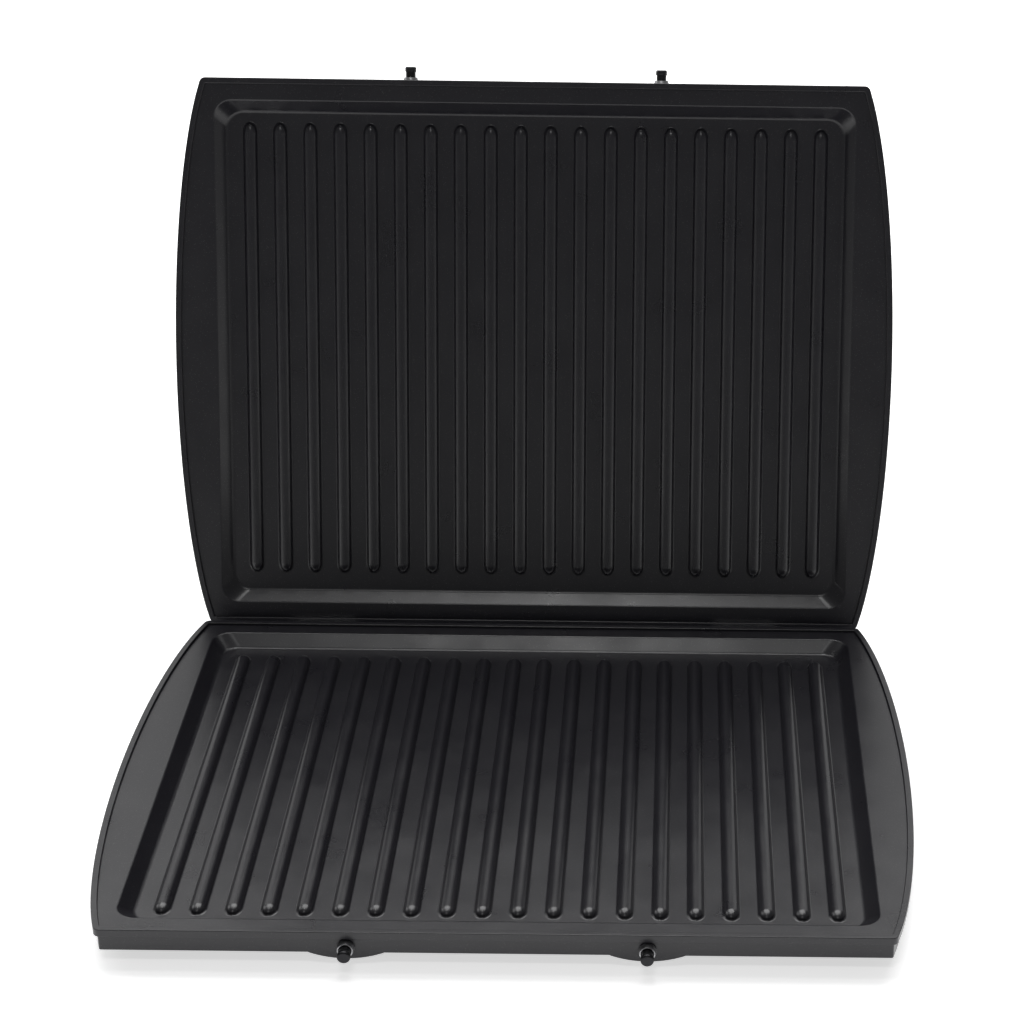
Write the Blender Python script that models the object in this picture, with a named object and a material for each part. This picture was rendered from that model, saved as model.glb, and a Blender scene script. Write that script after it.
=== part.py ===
"""Hinged pair of ribbed grill plates of a panini press, standing open.

Metres, +Z up, the front faces -Y. The origin is on the flat end of the lower plate's centre pad.
Both plates are modelled in plate coordinates: z = 0 is the rim plane and the casting lies below it.
"""

import math

import bmesh
import bpy
from mathutils import Matrix, Vector

MM = 0.001

# Plate outline and edge
CORNER_WIDTH = 276 * MM
SIDE_BOW = 12.5 * MM
SIDE_FULLNESS = 2.4
PLATE_DEPTH = 230 * MM
CORNER_RADIUS = 1.8 * MM
LIP_WIDTH = 2.4 * MM
LIP_HEIGHT = 1.0 * MM
LIP_CHAMFER = 0.4 * MM
UPPER_TIER = 3.0 * MM
SKIRT_DEPTH = 9.3 * MM
TIER_STEP = 1.5 * MM
SKIRT_DRAFT = 0.3 * MM
WALL = 2.0 * MM

# Cooking recess
SIDE_FLANGE = 5.0 * MM
FRONT_FLANGE = 9.2 * MM
REAR_FLANGE = 9.0 * MM
RECESS_DEPTH = 5.0 * MM
RECESS_WALL_RUN = 4.6 * MM
RECESS_RADIUS = 7.5 * MM

# Ribs
RIB_PITCH = 12.5 * MM
RIB_WIDTH = 6.4 * MM
RIB_HEIGHT = 2.6 * MM
RIB_END_LENGTH = 4.5 * MM
RIB_FRONT_MARGIN = 4.7 * MM
RIB_REAR_MARGIN = 7.9 * MM
RIB_SIDE_MARGIN = 3.0 * MM

# Heater under each plate
HEATER_RADIUS = 3.0 * MM
HEATER_CLEARANCE = 0.3 * MM
HEATER_SIDE_INSET = 36 * MM
HEATER_FRONT_INSET = 24 * MM
HEATER_REAR_INSET = 31 * MM
HEATER_BEND = 12 * MM
HEATER_END_SPACING = 40 * MM
HEATER_END_SETBACK = 17 * MM
CHANNEL_WALL = 2.2 * MM
CHANNEL_GRIP = 1.8 * MM
SEAL_RIM = 0.1 * MM
SEAL_LENGTH = 6.0 * MM
TERMINAL_RADIUS = 1.1 * MM
BLADE_LENGTH = 6.5 * MM
BLADE_WIDTH = 6.3 * MM
BLADE_THICKNESS = 0.8 * MM

# Pads on the underside
PAD_CLEARANCE = 0.5 * MM
CENTRE_PAD_RADIUS = 13 * MM
SUPPORT_PAD_RADIUS = 5 * MM
SUPPORT_SIDE_INSET = 26 * MM
SUPPORT_END_INSET = 29 * MM

# Latch pins on the front edges
LATCH_SPACING = 104 * MM
LATCH_DROP = 7.0 * MM
LATCH_REACH = 5.4 * MM
LATCH_RADIUS = 2.05 * MM
LATCH_HEAD_RIM = 0.3 * MM
LATCH_HEAD_LENGTH = 2.2 * MM
LATCH_BOSS_WIDTH = 26 * MM
LATCH_BOSS_DEPTH = 6 * MM
LATCH_BOSS_DROP = 2.4 * MM
COLLAR_WALL = 0.4 * MM
COLLAR_FLARE = 0.35 * MM
COLLAR_REACH = 1.0 * MM

# Hinges
HINGE_SPACING = 180 * MM
OPEN_ANGLE = math.radians(105)
CLOSED_GAP = 1.0 * MM
KNUCKLE_RADIUS = 3.2 * MM
KNUCKLE_LENGTH = 8.0 * MM
KNUCKLE_GAP = 0.4 * MM
STOP_GAP = 0.5 * MM
ARM_THICKNESS = 2.4 * MM
LEAF_THICKNESS = 1.5 * MM
LEAF_WIDTH = 30 * MM
LEAF_FRONT = 11.5 * MM
SCREW_SPACING = 20 * MM
SCREW_SETBACK = 7.0 * MM
SCREW_BOSS_RADIUS = 3.3 * MM
SCREW_RADIUS = 1.3 * MM
SCREW_DEPTH = 4.6 * MM
SCREW_HEAD_RADIUS = 2.7 * MM
SCREW_HEAD_HEIGHT = 1.5 * MM
PIN_RADIUS = 1.6 * MM
PIN_GROOVE_RADIUS = 1.1 * MM
PIN_HEAD_RADIUS = 2.8 * MM
PIN_HEAD_LENGTH = 1.2 * MM
CLIP_RADIUS = 2.9 * MM
CLIP_THICKNESS = 0.8 * MM
CLIP_SLOT = 1.8 * MM

CLEARANCE = 0.3 * MM
OVERLAP = 0.5 * MM
SIDES = (("left", -1), ("right", 1))

# Places worked out from the sizes above, in plate coordinates
HALF_DEPTH = PLATE_DEPTH / 2
SEAL_RADIUS = HEATER_RADIUS + SEAL_RIM
FLOOR_Z = -(LIP_HEIGHT + RECESS_DEPTH)
FLOOR_UNDERSIDE = FLOOR_Z - WALL
HEATER_Z = FLOOR_UNDERSIDE - OVERLAP - HEATER_RADIUS
CHANNEL_BOTTOM = HEATER_Z - CHANNEL_GRIP
PAD_Z = HEATER_Z - HEATER_RADIUS - PAD_CLEARANCE
FLOOR_WIDTH = CORNER_WIDTH - 2 * (SIDE_FLANGE + RECESS_WALL_RUN)
RIB_COUNT = int((FLOOR_WIDTH - RIB_WIDTH - 2 * RIB_SIDE_MARGIN) / RIB_PITCH) + 1
LATCH_HEAD_RADIUS = LATCH_RADIUS + LATCH_HEAD_RIM
COLLAR_NECK = LATCH_RADIUS + CLEARANCE + COLLAR_WALL
COLLAR_RADIUS = COLLAR_NECK + COLLAR_FLARE
# The knuckles clear the lower tier from behind and the upper tier from below
AXIS_SETBACK = KNUCKLE_RADIUS + CLEARANCE - TIER_STEP
AXIS_DROP = UPPER_TIER + math.sqrt((KNUCKLE_RADIUS + KNUCKLE_GAP) ** 2 - AXIS_SETBACK ** 2)
LEAF_TOP = -AXIS_DROP - KNUCKLE_RADIUS - STOP_GAP
LEAF_BOTTOM = LEAF_TOP - LEAF_THICKNESS
SCREW_BOSS_Z = LEAF_TOP + CLEARANCE
SCREW_Y = HALF_DEPTH - SCREW_SETBACK
AXIS_Y = HALF_DEPTH + AXIS_SETBACK
UPPER_AXIS_Z = AXIS_DROP + CLOSED_GAP
HEATER_END_Y = HALF_DEPTH - HEATER_END_SETBACK
RIM_HEIGHT = -PAD_Z


def clear_scene():
    for obj in list(bpy.data.objects):
        bpy.data.objects.remove(obj, do_unlink=True)


def make_material(name, color, roughness, metallic):
    material = bpy.data.materials.new(name)
    material.use_nodes = True
    shader = material.node_tree.nodes["Principled BSDF"]
    shader.inputs["Base Color"].default_value = (*color, 1.0)
    shader.inputs["Roughness"].default_value = roughness
    shader.inputs["Metallic"].default_value = metallic
    material.diffuse_color = (*color, 1.0)
    return material


def new_object(name, bm, material=None):
    """Closes a bmesh into a linked object whose faces point outwards."""
    bmesh.ops.recalc_face_normals(bm, faces=bm.faces[:])
    mesh = bpy.data.meshes.new(name)
    bm.to_mesh(mesh)
    bm.free()
    obj = bpy.data.objects.new(name, mesh)
    bpy.context.scene.collection.objects.link(obj)
    if material:
        mesh.materials.append(material)
    return obj


def combine(obj, tool, operation):
    """Applies a Boolean with a tool object, then removes the tool."""
    modifier = obj.modifiers.new(operation.lower(), "BOOLEAN")
    modifier.operation = operation
    modifier.object = tool
    modifier.use_self = False
    graph = bpy.context.evaluated_depsgraph_get()
    mesh = bpy.data.meshes.new_from_object(obj.evaluated_get(graph))
    obj.modifiers.clear()
    obj.data = mesh
    bpy.data.objects.remove(tool, do_unlink=True)


def join(obj, tool):
    combine(obj, tool, "UNION")


def cut(obj, tool):
    combine(obj, tool, "DIFFERENCE")


def smooth(obj, angle=math.radians(35)):
    obj.data.shade_smooth()
    obj.data.set_sharp_from_angle(angle=angle)


def loft(bm, loops):
    """Skins a row of loops that have the same number of points, and caps both ends."""
    rings = [[bm.verts.new(point) for point in loop] for loop in loops]
    for ring, following in zip(rings, rings[1:]):
        count = len(ring)
        for i in range(count):
            j = (i + 1) % count
            bm.faces.new((ring[i], ring[j], following[j], following[i]))
    bm.faces.new(rings[0])
    bm.faces.new(rings[-1])


def add_box(bm, low, high):
    corners = [Vector((x, y, z)) for z in (low[2], high[2]) for x, y in (
        (low[0], low[1]), (high[0], low[1]), (high[0], high[1]), (low[0], high[1]))]
    loft(bm, (corners[:4], corners[4:]))


def circle(radius, height, segments):
    turn = 2 * math.pi / segments
    return [Vector((radius * math.cos(turn * i), radius * math.sin(turn * i), height)) for i in range(segments)]


def add_turned(bm, profile, matrix, segments=16):
    """Revolves (radius, height) points about the local Z axis of a matrix."""
    loft(bm, [[matrix @ point for point in circle(radius, height, segments)] for radius, height in profile])


def along(axis, centre):
    """Matrix that stands local Z along a world axis, through a point."""
    return Matrix.Translation(centre) @ Vector((0, 0, 1)).rotation_difference(Vector(axis)).to_matrix().to_4x4()


def turned_object(name, profile, matrix, material=None, segments=16):
    bm = bmesh.new()
    add_turned(bm, profile, matrix, segments)
    return new_object(name, bm, material)


def box_object(name, low, high, material=None):
    bm = bmesh.new()
    add_box(bm, low, high)
    return new_object(name, bm, material)


def outline(half_corner, bow, front, rear, radius, z, side_steps=8, corner_steps=3):
    """Rectangle with bowed sides and round corners, counter-clockwise from the front right corner."""
    middle = (front + rear) / 2
    reach = (rear - front) / 2

    def side(y):
        return half_corner + bow * (1 - abs(y / reach) ** SIDE_FULLNESS)

    straight = reach - radius
    right = [(side(y), y) for y in (straight * (2 * i / side_steps - 1) for i in range(side_steps + 1))]
    centre = side(straight) - radius
    for i in range(1, corner_steps + 1):
        angle = math.pi / 2 * i / corner_steps
        right.append((centre + radius * math.cos(angle), straight + radius * math.sin(angle)))
    lower_right = [(x, -y) for x, y in reversed(right[side_steps + 1:])]
    half = lower_right + right
    loop = half + [(-x, y) for x, y in reversed(half)]
    return [Vector((x, middle + y, z)) for x, y in loop]


def edge_loop(inset, z):
    radius = max(CORNER_RADIUS - inset, CORNER_RADIUS / 4)
    reach = HALF_DEPTH - inset
    return outline(CORNER_WIDTH / 2 - inset, SIDE_BOW, -reach, reach, radius, z)


def recess_loop(grow, z):
    """Outline of the recess at a height, where grow moves it out from the recess's top edge."""
    return outline(
        CORNER_WIDTH / 2 - SIDE_FLANGE + grow,
        0,
        -HALF_DEPTH + FRONT_FLANGE - grow,
        HALF_DEPTH - REAR_FLANGE + grow,
        max(RECESS_RADIUS + grow * 0.8, RECESS_RADIUS / 3),
        z,
    )


def plate_shell(name, material):
    """Cast pan: raised lip, flange, sloped recess and a stepped skirt of even wall."""
    slope_length = math.hypot(RECESS_WALL_RUN, RECESS_DEPTH)
    wall_shift = WALL * (slope_length - RECESS_WALL_RUN) / RECESS_DEPTH
    loops = [
        recess_loop(-RECESS_WALL_RUN, FLOOR_Z),
        recess_loop(0, -LIP_HEIGHT),
        edge_loop(LIP_WIDTH, -LIP_HEIGHT),
        edge_loop(LIP_WIDTH - LIP_CHAMFER, 0),
        edge_loop(LIP_CHAMFER, 0),
        edge_loop(0, -LIP_CHAMFER),
        edge_loop(0, -UPPER_TIER),
        edge_loop(TIER_STEP, -UPPER_TIER),
        edge_loop(TIER_STEP + SKIRT_DRAFT, -SKIRT_DEPTH),
        edge_loop(TIER_STEP + SKIRT_DRAFT + WALL * 0.8, -SKIRT_DEPTH),
        edge_loop(TIER_STEP + WALL, -LIP_HEIGHT - WALL),
        recess_loop(wall_shift, -LIP_HEIGHT - WALL),
        recess_loop(wall_shift - RECESS_WALL_RUN, FLOOR_UNDERSIDE),
    ]
    bm = bmesh.new()
    loft(bm, loops)
    return new_object(name, bm, material)


def rib_section(scale, y, x, steps=4):
    """Domed rib section, carried down into the floor."""
    half = RIB_WIDTH / 2 * scale
    crown = RIB_HEIGHT * scale
    points = []
    for i in range(steps + 1):
        angle = math.pi * i / steps
        points.append(Vector((x + half * math.cos(angle), y, FLOOR_Z + crown * math.sin(angle) ** 0.85)))
    points.append(Vector((x - half, y, FLOOR_Z - OVERLAP)))
    points.append(Vector((x + half, y, FLOOR_Z - OVERLAP)))
    return points


def ribs():
    front = -HALF_DEPTH + FRONT_FLANGE + RECESS_WALL_RUN + RIB_FRONT_MARGIN
    rear = HALF_DEPTH - REAR_FLANGE - RECESS_WALL_RUN - RIB_REAR_MARGIN
    ends = (0.97, 0.6, 0.0)
    bm = bmesh.new()
    for i in range(RIB_COUNT):
        x = RIB_PITCH * (i - (RIB_COUNT - 1) / 2)
        sections = [rib_section(math.sqrt(1 - t * t), front + RIB_END_LENGTH * (1 - t), x) for t in ends]
        sections += [rib_section(math.sqrt(1 - t * t), rear - RIB_END_LENGTH * (1 - t), x) for t in reversed(ends)]
        loft(bm, sections)
    return new_object("ribs", bm)


def rounded_route(corners, radius, steps=3):
    """Points along straight runs joined by round bends, in the XY plane."""
    points = [corners[0]]
    for before, corner, after in zip(corners, corners[1:], corners[2:]):
        back = (before - corner).normalized()
        ahead = (after - corner).normalized()
        centre = corner + (back + ahead) * radius
        for i in range(steps + 1):
            turn = math.pi / 2 * i / steps
            points.append(centre - ahead * radius * math.cos(turn) - back * radius * math.sin(turn))
    points.append(corners[-1])
    return points


def heater_route(end_y):
    """Loop round the plate from one rear end to the other."""
    side = CORNER_WIDTH / 2 - SIDE_FLANGE - HEATER_SIDE_INSET
    front = -HALF_DEPTH + FRONT_FLANGE + HEATER_FRONT_INSET
    rear = HALF_DEPTH - REAR_FLANGE - HEATER_REAR_INSET
    end = HEATER_END_SPACING / 2
    right = [(end, end_y), (end, rear), (side, rear), (side, front)]
    corners = right + [(-x, y) for x, y in reversed(right)]
    return rounded_route([Vector((x, y, 0)) for x, y in corners], HEATER_BEND)


def sweep(bm, section, route):
    """Carries a (sideways, z) section along a flat route."""
    loops = []
    for i, point in enumerate(route):
        before = route[max(i - 1, 0)]
        after = route[min(i + 1, len(route) - 1)]
        forward = (after - before).normalized()
        sideways = Vector((forward.y, -forward.x, 0))
        loops.append([point + sideways * across + Vector((0, 0, z)) for across, z in section])
    loft(bm, loops)


def channel_section(steps=6):
    """Cast channel that closes round the heater past its middle."""
    clear = HEATER_RADIUS + HEATER_CLEARANCE
    outside = clear + CHANNEL_WALL
    lip = math.asin(CHANNEL_GRIP / clear)
    bore = clear / math.cos((math.pi / 2 + lip) / steps)
    top = FLOOR_UNDERSIDE + OVERLAP
    points = [(-outside, top), (-outside, CHANNEL_BOTTOM)]
    for i in range(steps + 1):
        angle = math.pi + lip - (math.pi + 2 * lip) * i / steps
        points.append((bore * math.cos(angle), HEATER_Z + bore * math.sin(angle)))
    return points + [(outside, CHANNEL_BOTTOM), (outside, top)]


def heater_channel():
    bm = bmesh.new()
    sweep(bm, channel_section(), heater_route(HEATER_END_Y - HEATER_BEND / 2))
    return new_object("channel", bm)


def pads():
    """Centre pad and four support pads, all ending in one flat plane."""
    side = CORNER_WIDTH / 2 - SUPPORT_SIDE_INSET
    end = HALF_DEPTH - SUPPORT_END_INSET
    bm = bmesh.new()
    for x, y, radius in (
        (0, 0, CENTRE_PAD_RADIUS),
        (side, end, SUPPORT_PAD_RADIUS),
        (-side, end, SUPPORT_PAD_RADIUS),
        (side, -end, SUPPORT_PAD_RADIUS),
        (-side, -end, SUPPORT_PAD_RADIUS),
    ):
        profile = ((radius + OVERLAP, FLOOR_UNDERSIDE + OVERLAP), (radius, PAD_Z))
        add_turned(bm, profile, Matrix.Translation((x, y, 0)), 24)
    return new_object("pads", bm)


def screw_places(side):
    centre = side * HINGE_SPACING / 2
    return [Vector((centre + offset, SCREW_Y, 0)) for offset in (-SCREW_SPACING / 2, SCREW_SPACING / 2)]


def screw_bosses():
    top = -LIP_HEIGHT - WALL + OVERLAP
    bm = bmesh.new()
    for _, side in SIDES:
        for place in screw_places(side):
            profile = ((SCREW_BOSS_RADIUS, top), (SCREW_BOSS_RADIUS, SCREW_BOSS_Z))
            add_turned(bm, profile, Matrix.Translation(place), 16)
    return new_object("screw_bosses", bm)


def screw_holes():
    radius = SCREW_RADIUS + CLEARANCE
    bm = bmesh.new()
    for _, side in SIDES:
        for place in screw_places(side):
            profile = ((radius, SCREW_BOSS_Z + SCREW_DEPTH + CLEARANCE), (radius, SCREW_BOSS_Z - OVERLAP))
            add_turned(bm, profile, Matrix.Translation(place), 12)
    return new_object("screw_holes", bm)


def latch_boss(centre):
    """Shallow arched boss that deepens the front skirt round a latch pin."""
    half = LATCH_BOSS_WIDTH / 2
    steps = 10
    low = []
    for i in range(steps + 1):
        t = 2 * i / steps - 1
        low.append((centre + half * t, -SKIRT_DEPTH - LATCH_BOSS_DROP * (1 - t * t)))
    section = low + [(centre + half, -UPPER_TIER + OVERLAP), (centre - half, -UPPER_TIER + OVERLAP)]
    front = -HALF_DEPTH + TIER_STEP
    bm = bmesh.new()
    loft(bm, [[Vector((x, y, z)) for x, z in section] for y in (front, front + LATCH_BOSS_DEPTH)])
    return new_object("latch_boss", bm)


def latch_hole(centre):
    """Counterbored hole: a pocket for the collar in the front edge, then the pin's own bore."""
    pocket = COLLAR_RADIUS + CLEARANCE
    bore = LATCH_RADIUS + CLEARANCE
    front = -HALF_DEPTH + TIER_STEP
    profile = (
        (pocket, -TIER_STEP - OVERLAP * 4),
        (pocket, 0),
        (bore, 0),
        (bore, LATCH_BOSS_DEPTH - WALL / 2),
    )
    return turned_object("latch_hole", profile, along((0, 1, 0), (centre, front, -LATCH_DROP)), segments=20)


def grill_plate(name, material):
    plate = plate_shell(name, material)
    join(plate, ribs())
    join(plate, heater_channel())
    join(plate, pads())
    join(plate, screw_bosses())
    cut(plate, screw_holes())
    for _, side in SIDES:
        centre = side * LATCH_SPACING / 2
        join(plate, latch_boss(centre))
        cut(plate, latch_hole(centre))
    smooth(plate)
    return plate


def latch_pin(name, side, material):
    """Stud with a rounded head, pressed into the boss from the front."""
    tip = TIER_STEP + LATCH_REACH
    round_off = LATCH_HEAD_RADIUS * 0.35
    profile = (
        (LATCH_RADIUS, -(LATCH_BOSS_DEPTH - WALL / 2 - CLEARANCE)),
        (LATCH_RADIUS, tip - LATCH_HEAD_LENGTH),
        (LATCH_HEAD_RADIUS, tip - LATCH_HEAD_LENGTH + CLEARANCE),
        (LATCH_HEAD_RADIUS, tip - round_off),
        (LATCH_HEAD_RADIUS - round_off * 0.35, tip - round_off * 0.3),
        (LATCH_HEAD_RADIUS - round_off, tip),
    )
    centre = (side * LATCH_SPACING / 2, -HALF_DEPTH + TIER_STEP, -LATCH_DROP)
    pin = turned_object(name, profile, along((0, -1, 0), centre), material)
    smooth(pin)
    return pin


def latch_collar(name, side, material):
    """Flared ring round the root of a latch pin."""
    reach = TIER_STEP + COLLAR_REACH
    bore = LATCH_RADIUS + CLEARANCE
    outside = (
        (COLLAR_RADIUS, CLEARANCE),
        (COLLAR_RADIUS, reach * 0.45),
        (COLLAR_NECK, reach),
    )
    centre = (side * LATCH_SPACING / 2, -HALF_DEPTH + TIER_STEP, -LATCH_DROP)
    matrix = along((0, -1, 0), centre)
    collar = turned_object(name, outside, matrix, material, 24)
    cut(collar, turned_object("bore", ((bore, -OVERLAP), (bore, reach + OVERLAP)), matrix, segments=24))
    smooth(collar)
    return collar


def heater_element(name, material):
    sides = 8
    section = [
        (HEATER_RADIUS * math.cos(2 * math.pi * i / sides), HEATER_Z + HEATER_RADIUS * math.sin(2 * math.pi * i / sides))
        for i in range(sides)
    ]
    bm = bmesh.new()
    sweep(bm, section, heater_route(HEATER_END_Y))
    element = new_object(name, bm, material)
    smooth(element, math.radians(60))
    return element


def heater_seal(name, side, material):
    """Ceramic bead over a cold end of the heater."""
    start = CLEARANCE
    bore = TERMINAL_RADIUS + CLEARANCE
    matrix = along((0, 1, 0), (side * HEATER_END_SPACING / 2, HEATER_END_Y, HEATER_Z))
    outside = (
        (SEAL_RADIUS * 0.9, start),
        (SEAL_RADIUS, start + SEAL_LENGTH * 0.15),
        (SEAL_RADIUS, start + SEAL_LENGTH * 0.7),
        (SEAL_RADIUS * 0.75, start + SEAL_LENGTH),
    )
    seal = turned_object(name, outside, matrix, material)
    cut(seal, turned_object("bore", ((bore, -OVERLAP), (bore, SEAL_LENGTH + 2 * OVERLAP)), matrix, segments=16))
    smooth(seal)
    return seal


def heater_terminal(name, side, material):
    """Round stem through the seal that ends in a flat push-on blade."""
    x = side * HEATER_END_SPACING / 2
    blade_start = HEATER_END_Y + CLEARANCE + SEAL_LENGTH + CLEARANCE
    profile = ((TERMINAL_RADIUS, CLEARANCE), (TERMINAL_RADIUS, blade_start + OVERLAP - HEATER_END_Y))
    terminal = turned_object(name, profile, along((0, 1, 0), (x, HEATER_END_Y, HEATER_Z)), material, 12)
    low = (x - BLADE_WIDTH / 2, blade_start, HEATER_Z - BLADE_THICKNESS / 2)
    high = (x + BLADE_WIDTH / 2, blade_start + BLADE_LENGTH, HEATER_Z + BLADE_THICKNESS / 2)
    join(terminal, box_object("blade", low, high))
    return terminal


def leaf_holes(side):
    radius = SCREW_RADIUS + CLEARANCE
    bm = bmesh.new()
    for place in screw_places(side):
        profile = ((radius, LEAF_TOP + OVERLAP), (radius, LEAF_BOTTOM - OVERLAP))
        add_turned(bm, profile, Matrix.Translation(place), 12)
    return new_object("leaf_holes", bm)


def knuckle(centre, half, z):
    matrix = along((1, 0, 0), (centre, AXIS_Y, z))
    return turned_object("knuckle", ((KNUCKLE_RADIUS, -half), (KNUCKLE_RADIUS, half)), matrix, segments=20)


def knuckle_bore(centre, half, z):
    radius = PIN_RADIUS + CLEARANCE
    matrix = along((1, 0, 0), (centre, AXIS_Y, z))
    return turned_object("bore", ((radius, -half), (radius, half)), matrix, segments=16)


def lower_leaf(name, side, material):
    """Fixed leaf: foot, two outer knuckles, and a rear edge between them that stops the lid."""
    centre = side * HINGE_SPACING / 2
    front = HALF_DEPTH - LEAF_FRONT
    half = KNUCKLE_LENGTH / 2
    outer_centre = KNUCKLE_LENGTH + CLEARANCE
    cheek_front = AXIS_Y - KNUCKLE_RADIUS + CLEARANCE / 3
    leaf = box_object(name, (centre - LEAF_WIDTH / 2, front, LEAF_BOTTOM),
                      (centre + LEAF_WIDTH / 2, cheek_front + OVERLAP, LEAF_TOP), material)
    stop = box_object("stop", (centre - half, cheek_front, LEAF_BOTTOM), (centre + half, stop_edge_y(), LEAF_TOP))
    join(leaf, stop)
    for offset in (-outer_centre, outer_centre):
        cheek = box_object(
            "cheek",
            (centre + offset - half, cheek_front, LEAF_BOTTOM),
            (centre + offset + half, AXIS_Y + KNUCKLE_RADIUS - CLEARANCE / 3, -AXIS_DROP),
        )
        join(cheek, knuckle(centre + offset, half, -AXIS_DROP))
        join(leaf, cheek)
    cut(leaf, knuckle_bore(centre, LEAF_WIDTH, -AXIS_DROP))
    cut(leaf, leaf_holes(side))
    smooth(leaf)
    return leaf


def stop_edge_y():
    """Where the open lid's arm comes down to the clearance above the fixed leaf's top face."""
    half = ARM_THICKNESS / 2
    drop = -AXIS_DROP - LEAF_TOP - CLEARANCE
    run = (drop - half * math.sin(OPEN_ANGLE)) / -math.cos(OPEN_ANGLE)
    return AXIS_Y + half * math.cos(OPEN_ANGLE) + run * math.sin(OPEN_ANGLE)


def upper_leaf(name, side, material):
    """Moving leaf: foot on the lid, an arm past both rear edges, and the middle knuckle."""
    centre = side * HINGE_SPACING / 2
    half = KNUCKLE_LENGTH / 2
    front = HALF_DEPTH - LEAF_FRONT
    arm_front = AXIS_Y - ARM_THICKNESS / 2
    arm_rear = AXIS_Y + ARM_THICKNESS / 2
    leaf = box_object(name, (centre - LEAF_WIDTH / 2, front, LEAF_BOTTOM),
                      (centre + LEAF_WIDTH / 2, HALF_DEPTH - TIER_STEP, LEAF_TOP), material)
    join(leaf, box_object("neck", (centre - half, front + WALL, LEAF_BOTTOM), (centre + half, arm_rear, LEAF_TOP)))
    join(leaf, box_object("arm", (centre - half, arm_front, LEAF_TOP - OVERLAP), (centre + half, arm_rear, UPPER_AXIS_Z)))
    join(leaf, knuckle(centre, half, UPPER_AXIS_Z))
    cut(leaf, knuckle_bore(centre, LEAF_WIDTH, UPPER_AXIS_Z))
    cut(leaf, leaf_holes(side))
    smooth(leaf)
    return leaf


def leaf_screw(name, place, material):
    """Screw whose shank goes into the boss and whose pan head is under the leaf."""
    under_head = LEAF_BOTTOM - CLEARANCE
    profile = (
        (SCREW_RADIUS, SCREW_BOSS_Z + SCREW_DEPTH),
        (SCREW_RADIUS, under_head),
        (SCREW_HEAD_RADIUS, under_head),
        (SCREW_HEAD_RADIUS, under_head - SCREW_HEAD_HEIGHT * 0.5),
        (SCREW_HEAD_RADIUS * 0.72, under_head - SCREW_HEAD_HEIGHT),
    )
    screw = turned_object(name, profile, Matrix.Translation(place), material, 14)
    smooth(screw)
    return screw


def leaf_screws(prefix, label, side, material):
    return [
        leaf_screw(f"{prefix}_leaf_screw_{label}_{number}", place, material)
        for number, place in enumerate(screw_places(side), start=1)
    ]


def pin_span():
    """Half the length of the three knuckles of one hinge."""
    return KNUCKLE_LENGTH * 1.5 + CLEARANCE


def hinge_pin(name, side, material):
    """Headed pin through the knuckles, grooved at its inner end for the clip."""
    span = pin_span()
    groove = span + CLEARANCE
    profile = (
        (PIN_HEAD_RADIUS * 0.8, -span - CLEARANCE - PIN_HEAD_LENGTH),
        (PIN_HEAD_RADIUS, -span - CLEARANCE - PIN_HEAD_LENGTH * 0.6),
        (PIN_HEAD_RADIUS, -span - CLEARANCE),
        (PIN_RADIUS, -span - CLEARANCE),
        (PIN_RADIUS, groove),
        (PIN_GROOVE_RADIUS, groove),
        (PIN_GROOVE_RADIUS, groove + CLIP_THICKNESS + 2 * CLEARANCE),
        (PIN_RADIUS, groove + CLIP_THICKNESS + 2 * CLEARANCE),
        (PIN_RADIUS, groove + CLIP_THICKNESS + 5 * CLEARANCE),
    )
    matrix = along((-side, 0, 0), (side * HINGE_SPACING / 2, AXIS_Y, -AXIS_DROP))
    pin = turned_object(name, profile, matrix, material, 16)
    smooth(pin)
    return pin


def pin_clip(name, side, material):
    """Open ring that sits in the pin's groove."""
    start = pin_span() + 2 * CLEARANCE
    bore = PIN_GROOVE_RADIUS + CLEARANCE
    matrix = along((-side, 0, 0), (side * HINGE_SPACING / 2, AXIS_Y, -AXIS_DROP))
    clip = turned_object(name, ((CLIP_RADIUS, start), (CLIP_RADIUS, start + CLIP_THICKNESS)), matrix, material)
    cut(clip, turned_object("bore", ((bore, 0), (bore, 2 * start)), matrix, segments=16))
    inner = side * (HINGE_SPACING / 2 - start - CLIP_THICKNESS / 2)
    reach = CLIP_THICKNESS
    low = (inner - reach, AXIS_Y - CLIP_SLOT / 2, -AXIS_DROP - 2 * CLIP_RADIUS)
    high = (inner + reach, AXIS_Y + CLIP_SLOT / 2, -AXIS_DROP)
    cut(clip, box_object("slot", low, high))
    smooth(clip)
    return clip


def place_lower(obj):
    obj.location = (0, 0, RIM_HEIGHT)


def place_upper(obj, parent):
    """Turns a piece over the rim plane, puts its origin on the hinge axis and hangs it on the opened lid."""
    turn_over = Matrix.Scale(-1, 4, Vector((0, 0, 1)))
    to_axis = Matrix.Translation((0, -AXIS_Y, UPPER_AXIS_Z))
    obj.data.transform(to_axis @ turn_over)
    obj.data.flip_normals()
    obj.parent = parent


def opened_lid():
    """Empty on the hinge axis that holds the lid open."""
    lid = bpy.data.objects.new("lid_axis", None)
    bpy.context.scene.collection.objects.link(lid)
    lid.location = (0, AXIS_Y, RIM_HEIGHT - AXIS_DROP)
    lid.rotation_euler = (-OPEN_ANGLE, 0, 0)
    return lid


def plate_pieces(prefix, materials):
    """The pieces that both plates carry: casting, latch pins, collars and the heater with its ends."""
    coating, oxide, collar, sheath, ceramic, plated = materials
    pieces = [grill_plate(f"{prefix}_plate", coating), heater_element(f"{prefix}_heater_element", sheath)]
    for label, side in SIDES:
        pieces.append(latch_pin(f"{prefix}_latch_pin_{label}", side, oxide))
        pieces.append(latch_collar(f"{prefix}_latch_collar_{label}", side, collar))
        pieces.append(heater_seal(f"{prefix}_heater_seal_{label}", side, ceramic))
        pieces.append(heater_terminal(f"{prefix}_heater_terminal_{label}", side, plated))
    return pieces


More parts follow.
